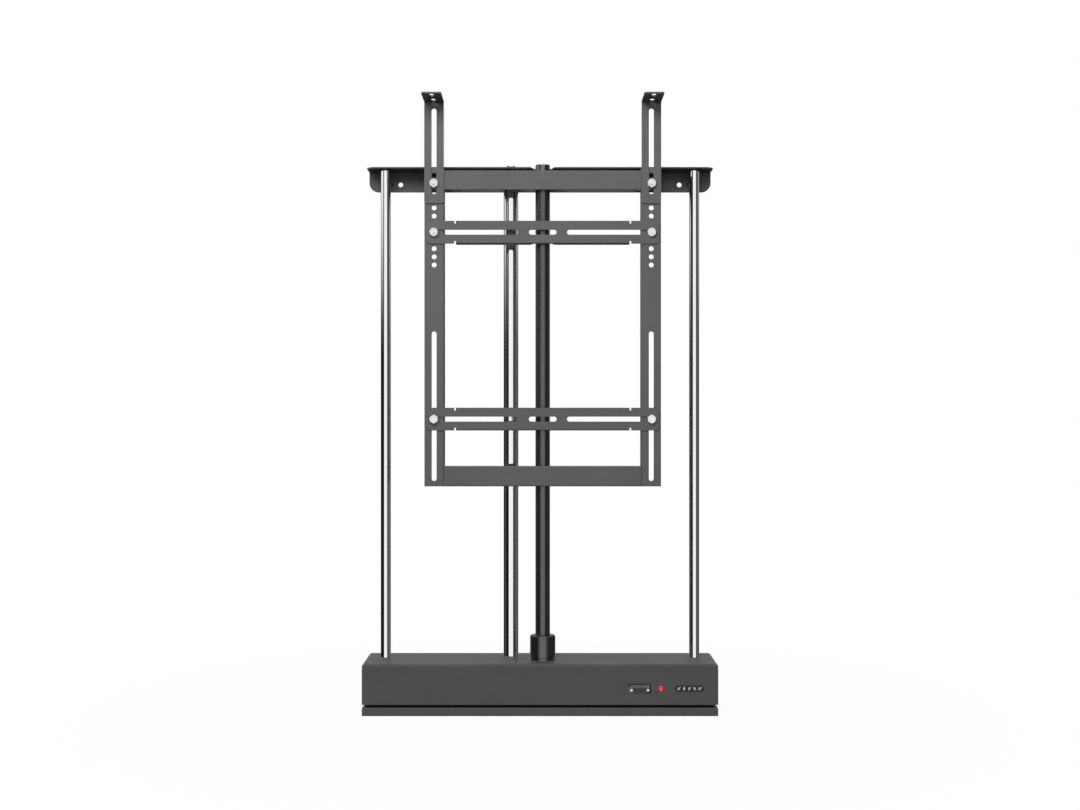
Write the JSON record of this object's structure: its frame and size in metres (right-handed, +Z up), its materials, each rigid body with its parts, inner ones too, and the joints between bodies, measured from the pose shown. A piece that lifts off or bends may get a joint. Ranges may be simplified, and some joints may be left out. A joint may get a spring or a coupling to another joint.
{
  "type": "tv lift mechanism",
  "caption": "Motorised lift for a television in a cabinet: telescopic chrome columns and a screw actuator on a base box raise a slotted hanging frame and lid brackets.",
  "frame": {"origin": "centre of the base's underside", "axes": "+Z up along the lift's travel; -Y is the front, where the television hangs; +X is the right side seen from the front"},
  "size_m": [0.65, 0.1856, 1.1273],
  "materials": {
    "powder_coat": "satin charcoal powder coat",
    "chrome_tube": "bright chrome plating",
    "black_tube": "semi-gloss black",
    "bright_zinc": "bright zinc plating",
    "steel": "machined steel",
    "cast_foot": "cast",
    "black_plastic": "matte",
    "nut_bronze": "turned bronze",
    "black_screw": "black oxide",
    "board_green": "solder mask",
    "red_lens": "clear red lens"
  },
  "bodies": {
    "base": {"base_pan": "powder_coat", "plinth_frame": "powder_coat", "base_housing": "powder_coat", "housing_screws": "bright_zinc", "housing_spacers": "bright_zinc", "column_feet": "cast_foot", "foot_screws": "bright_zinc", "side_tube_left": "chrome_tube", "side_tube_right": "chrome_tube", "centre_tube": "chrome_tube", "column_bushes": "black_plastic", "actuator_tube": "black_tube", "actuator_bush": "black_plastic", "actuator_collar": "black_tube", "actuator_tube_foot": "cast_foot", "thrust_cup": "cast_foot", "screw_bearings": "steel", "drive_plate": "bright_zinc", "drive_plate_posts": "bright_zinc", "motor": "steel", "control_board": "board_green", "board_posts": "bright_zinc", "board_components": "black_plastic", "power_supply": "bright_zinc", "power_inlet": "black_plastic", "connector_screws": "bright_zinc", "control_socket": "black_plastic", "status_led": "red_lens", "terminal_strip": "black_plastic", "terminal_screws": "bright_zinc"},
    "drive_screw": {"lead_screw": "steel", "screw_gear": "steel"},
    "motor_rotor": {"motor_shaft": "steel", "motor_pinion": "steel"},
    "carriage": {"side_rod_left": "chrome_tube", "side_rod_right": "chrome_tube", "centre_rod": "chrome_tube", "rod_foot_bushes": "black_plastic", "push_tube": "steel", "drive_nut": "nut_bronze", "drive_head": "black_tube", "drive_bracket": "powder_coat", "drive_pin": "bright_zinc", "head_plate": "powder_coat", "head_screws": "bright_zinc", "centre_column_screw": "black_screw", "frame_hanger_left": "powder_coat", "frame_hanger_right": "powder_coat", "upright_left": "powder_coat", "upright_right": "powder_coat", "top_bar": "powder_coat", "bottom_bar": "powder_coat", "upper_crossbar": "powder_coat", "lid_bolts": "bright_zinc", "upper_crossbar_bolts": "bright_zinc"},
    "lid_bracket_left_body": {"lid_bracket_left": "powder_coat"},
    "lid_bracket_right_body": {"lid_bracket_right": "powder_coat"},
    "lower_crossbar_body": {"lower_crossbar": "powder_coat", "lower_crossbar_bolts": "bright_zinc"}
  },
  "joints": [
    {"name": "lift", "type": "slide", "parent": "base", "child": "carriage", "axis": [0, 0, 1], "range_m": [0, 0.7]},
    {"name": "screw_spin", "type": "hinge", "parent": "base", "child": "drive_screw", "pos_m": [0.005, -0.01, 0.012], "axis": [0, 0, 1], "range_deg": [-12620, 20]},
    {"name": "motor_spin", "type": "hinge", "parent": "base", "child": "motor_rotor", "pos_m": [0.059, -0.01, 0.012], "axis": [0, 0, 1], "range_deg": [-40, 25240]},
    {"name": "lid_bracket_left_height", "type": "slide", "parent": "carriage", "child": "lid_bracket_left_body", "axis": [0, 0, 1], "range_m": [-0.03, 0.016]},
    {"name": "lid_bracket_right_height", "type": "slide", "parent": "carriage", "child": "lid_bracket_right_body", "axis": [0, 0, 1], "range_m": [-0.03, 0.016]},
    {"name": "lower_crossbar_height", "type": "slide", "parent": "carriage", "child": "lower_crossbar_body", "axis": [0, 0, 1], "range_m": [-0.065, 0.155]}
  ],
  "couplings": [
    {"joint": "screw_spin", "follows": "lift", "rad_per_m": -314.16},
    {"joint": "motor_spin", "follows": "lift", "rad_per_m": 628.32}
  ]
}
